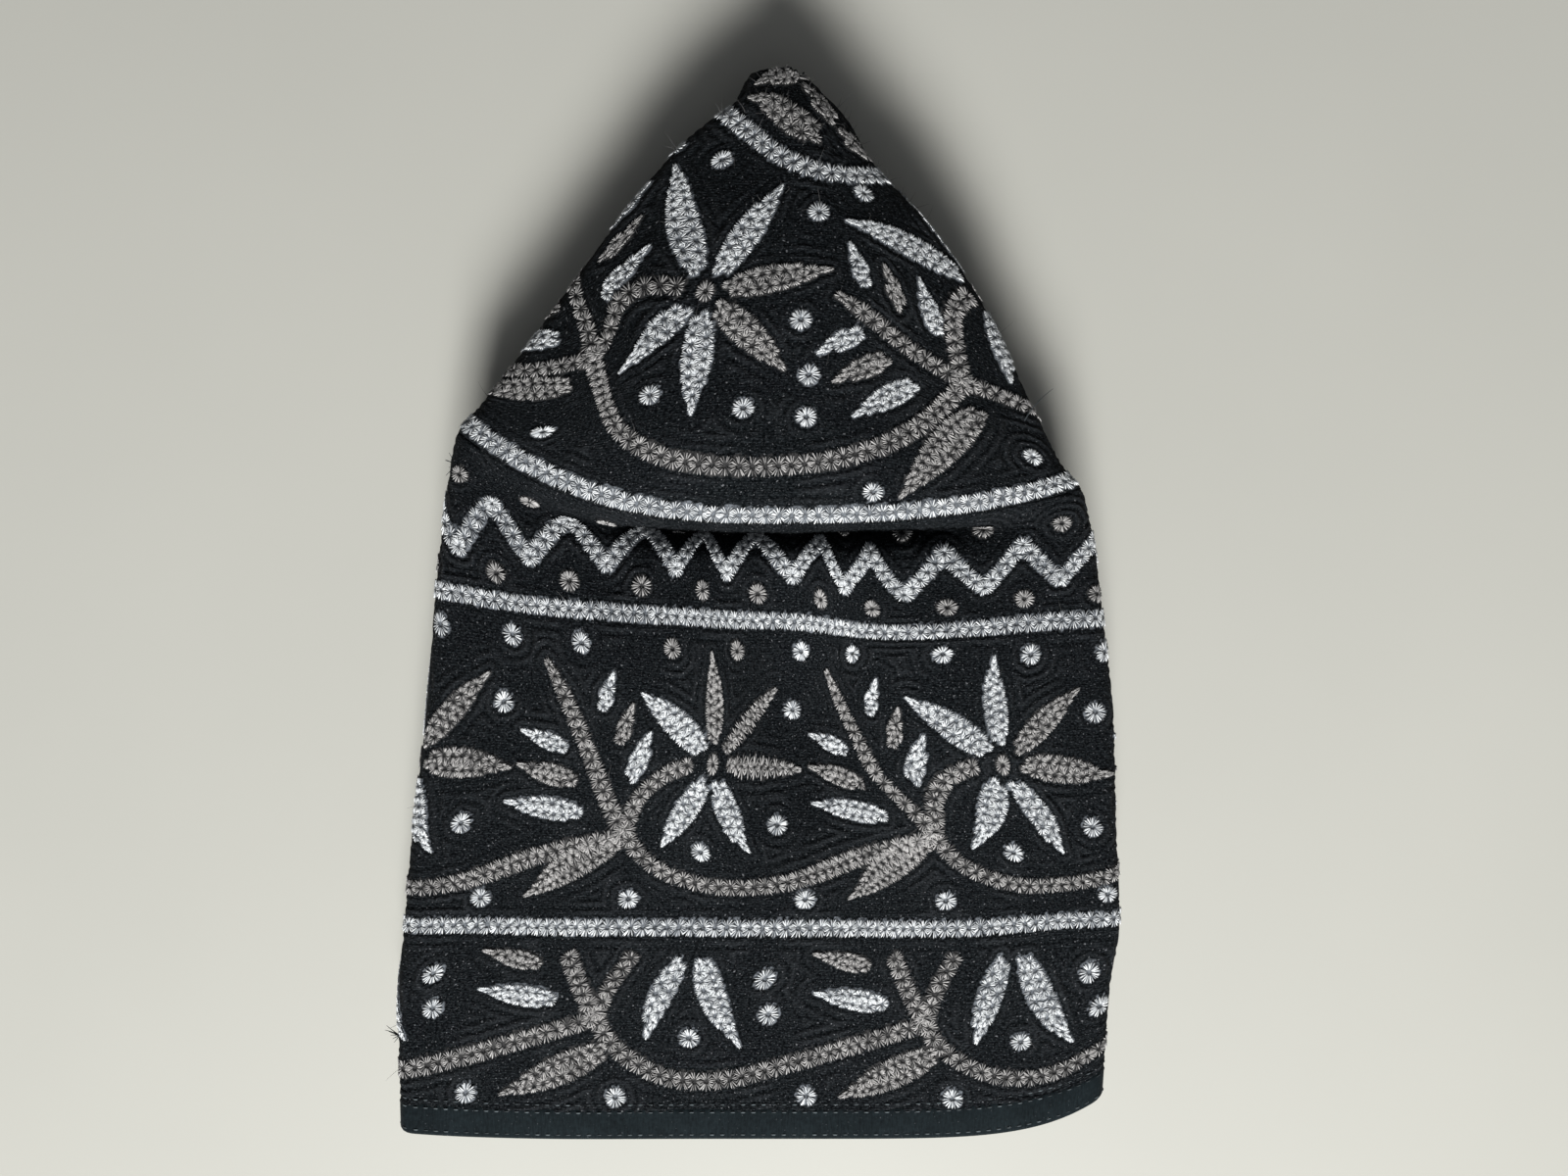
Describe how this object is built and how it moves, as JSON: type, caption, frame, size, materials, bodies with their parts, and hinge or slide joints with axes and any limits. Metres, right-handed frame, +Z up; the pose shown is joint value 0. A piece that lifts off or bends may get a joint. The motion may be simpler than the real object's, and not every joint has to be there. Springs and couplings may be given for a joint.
{
  "type": "kumma, folded flat",
  "caption": "Embroidered cotton cap folded flat: crown pinched up to a peak, sides tucked in as gussets, cloth walls hollow and open at the hem.",
  "frame": {"origin": "centre of the bounding box's footprint, on the surface that the cap lies on", "axes": "+Y from the hem towards the peak, +Z up from the table through the four layers of cloth, +X to the right seen from above with the peak away"},
  "size_m": [0.1524, 0.2202, 0.0474],
  "materials": {
    "quilted_cotton": "matt black cotton, quilted over cord",
    "hem_cotton": "matt black cotton, smooth turned strip",
    "white_thread": "bluish white embroidery thread, slight sheen",
    "grey_thread": "warm grey embroidery thread, slight sheen"
  },
  "bodies": {
    "root": {"crown": "quilted_cotton", "side_band": "quilted_cotton", "hem_band": "hem_cotton"}
  },
  "joints": []
}
